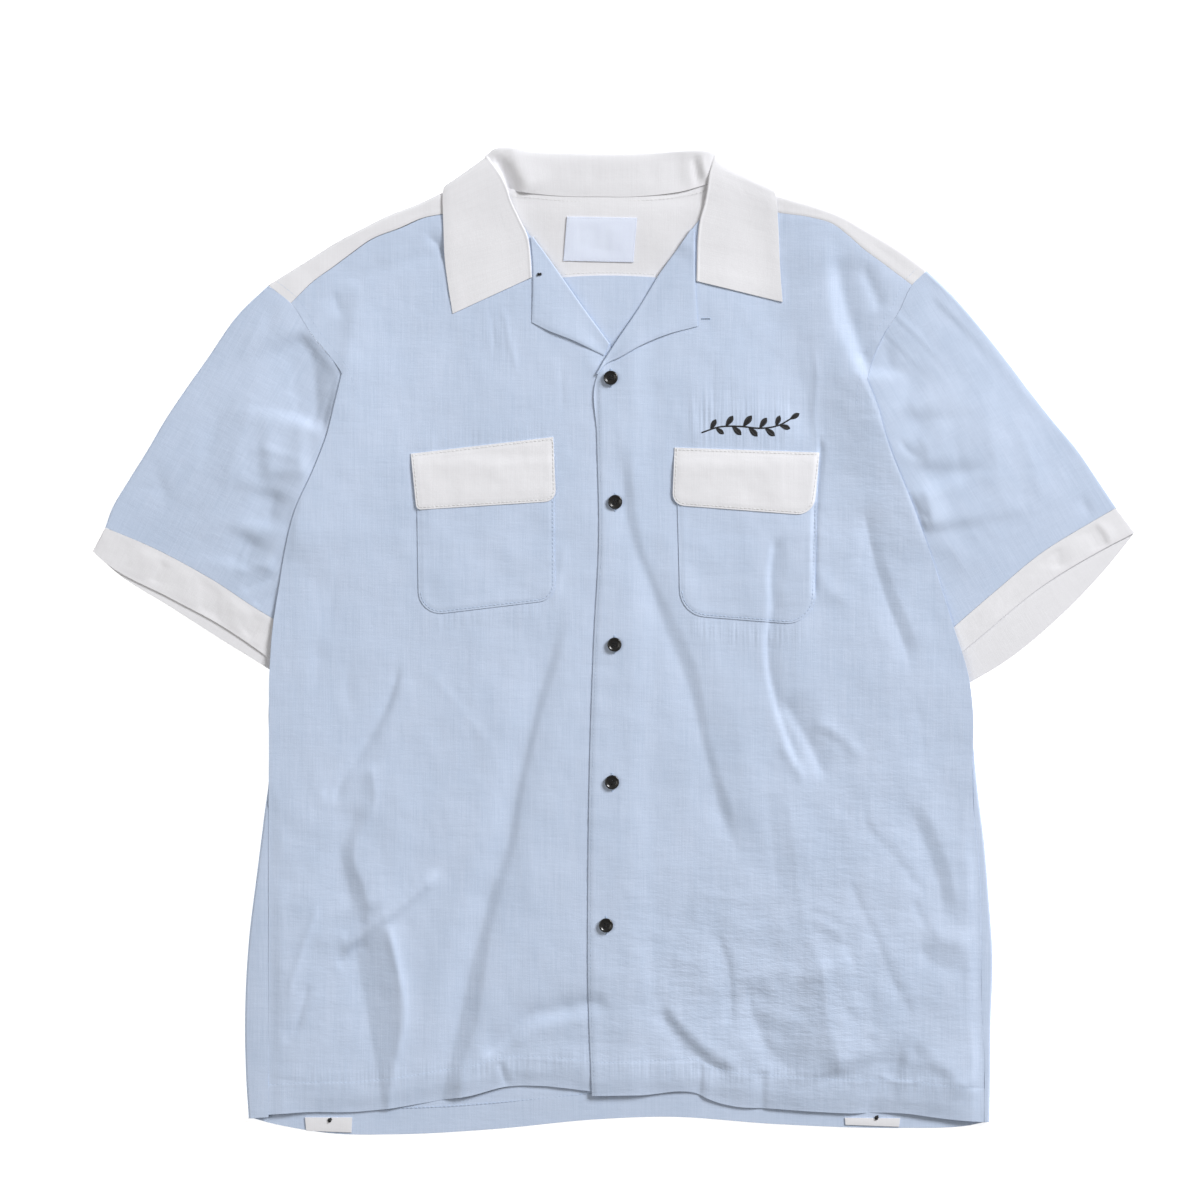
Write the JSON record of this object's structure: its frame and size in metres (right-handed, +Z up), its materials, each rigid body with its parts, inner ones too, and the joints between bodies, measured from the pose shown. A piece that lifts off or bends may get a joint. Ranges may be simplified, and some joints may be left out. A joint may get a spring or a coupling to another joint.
{
  "type": "short-sleeved bowling shirt",
  "caption": "Short-sleeved bowling shirt in light blue with off-white collar, yoke, cuffs and pocket flaps, buttoned and laid flat, front up.",
  "frame": {"origin": "middle of the shirt's outline, on the surface that it lies on", "axes": "+X across the shirt from cuff to cuff, towards the wearer's left, +Y from the hem to the collar, +Z up out of the front"},
  "size_m": [0.8348, 0.791, 0.0131],
  "materials": {
    "shirt_cloth": "light blue plain weave with fine slubs, soft sheen",
    "contrast_cloth": "off-white plain weave with fine slubs, matt",
    "label_cloth": "white satin weave, bare",
    "button_plastic": "polished black"
  },
  "bodies": {
    "root": {"back": "shirt_cloth", "yoke": "contrast_cloth", "front_right": "shirt_cloth", "front_left": "shirt_cloth", "facing_right": "shirt_cloth", "facing_left": "shirt_cloth", "collar": "contrast_cloth", "sleeve_right": "shirt_cloth", "sleeve_left": "shirt_cloth", "cuff_right": "contrast_cloth", "cuff_left": "contrast_cloth", "pocket_right": "shirt_cloth", "pocket_left": "shirt_cloth", "flap_right": "contrast_cloth", "flap_left": "contrast_cloth", "hem_tab_right": "contrast_cloth", "hem_tab_left": "contrast_cloth", "label": "label_cloth", "button_1": "button_plastic", "button_2": "button_plastic", "button_3": "button_plastic", "button_4": "button_plastic", "button_5": "button_plastic"}
  },
  "joints": []
}
